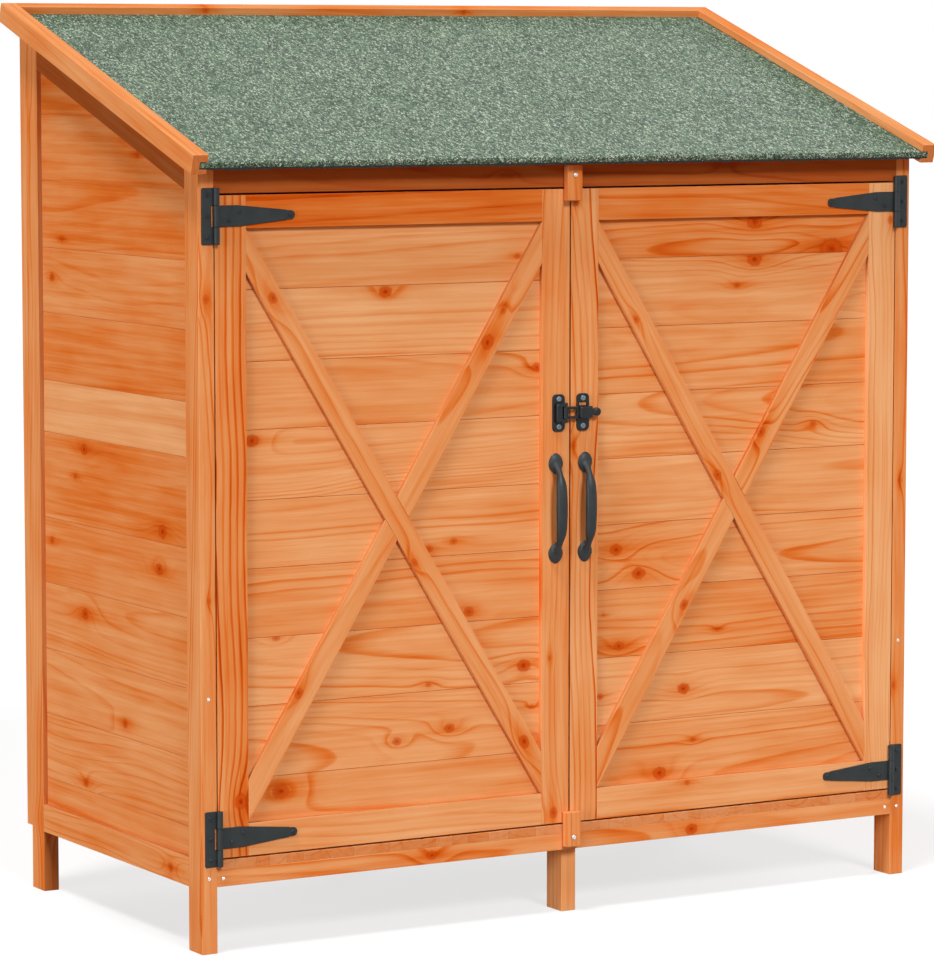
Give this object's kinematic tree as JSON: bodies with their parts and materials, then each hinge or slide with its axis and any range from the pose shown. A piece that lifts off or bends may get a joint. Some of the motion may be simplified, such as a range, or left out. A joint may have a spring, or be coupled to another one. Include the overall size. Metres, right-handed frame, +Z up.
{
  "type": "wooden tool shed",
  "caption": "Timber tool shed on short legs with a felted lean-to roof, board walls, a floor and a pair of hinged doors with cross braces, latch and pull handles.",
  "frame": {"origin": "on the ground, under the middle of the roof's outline", "axes": "+Z up, the doors face -Y, +X to the right as seen from the front"},
  "size_m": [1.4042, 0.7262, 1.4943],
  "materials": {
    "stained_fir": "satin stain",
    "felt": "mineral granules",
    "black_iron": "satin",
    "zinc": "bright"
  },
  "bodies": {
    "shed": {"front_left_post": "stained_fir", "front_right_post": "stained_fir", "back_left_post": "stained_fir", "back_right_post": "stained_fir", "middle_legs": "stained_fir", "front_bottom_rail": "stained_fir", "back_bottom_rail": "stained_fir", "left_bottom_rail": "stained_fir", "right_bottom_rail": "stained_fir", "fascia": "stained_fir", "back_top_rail": "stained_fir", "left_top_rail": "stained_fir", "right_top_rail": "stained_fir", "left_wall": "stained_fir", "right_wall": "stained_fir", "back_wall": "stained_fir", "floor": "stained_fir", "roof_deck": "stained_fir", "left_rake": "stained_fir", "right_rake": "stained_fir", "roof_back_trim": "stained_fir", "roof_felt": "felt", "left_hinge_plates": "black_iron", "right_hinge_plates": "black_iron", "button_screws": "zinc"},
    "left_door": {"left_door_stiles": "stained_fir", "left_door_rails": "stained_fir", "left_door_panel": "stained_fir", "left_door_long_brace": "stained_fir", "left_door_short_braces": "stained_fir", "left_door_straps": "black_iron", "left_handle": "black_iron", "latch_plate": "black_iron"},
    "right_door": {"right_door_stiles": "stained_fir", "right_door_rails": "stained_fir", "right_door_panel": "stained_fir", "right_door_long_brace": "stained_fir", "right_door_short_braces": "stained_fir", "right_door_straps": "black_iron", "right_handle": "black_iron", "latch_keeper": "black_iron"},
    "latch_loop": {"latch_loop": "black_iron"},
    "top_button": {"top_button": "stained_fir"},
    "bottom_button": {"bottom_button": "stained_fir"}
  },
  "joints": [
    {"name": "left_door_swing", "type": "hinge", "parent": "shed", "child": "left_door", "pos_m": [-0.6455, -0.32853, 0.6715], "axis": [0, 0, -1], "range_deg": [0, 160]},
    {"name": "right_door_swing", "type": "hinge", "parent": "shed", "child": "right_door", "pos_m": [0.6455, -0.32853, 0.6715], "axis": [0, 0, 1], "range_deg": [0, 160]},
    {"name": "latch_loop_swing", "type": "hinge", "parent": "left_door", "child": "latch_loop", "pos_m": [-0.0135, -0.33078, 0.828], "axis": [0, 0, -1], "range_deg": [0, 160]},
    {"name": "top_button_turn", "type": "hinge", "parent": "shed", "child": "top_button", "pos_m": [0, -0.33128, 1.215], "axis": [0, 1, 0], "range_deg": [-90, 90]},
    {"name": "bottom_button_turn", "type": "hinge", "parent": "shed", "child": "bottom_button", "pos_m": [0, -0.33128, 0.128], "axis": [0, 1, 0], "range_deg": [-90, 90]}
  ]
}
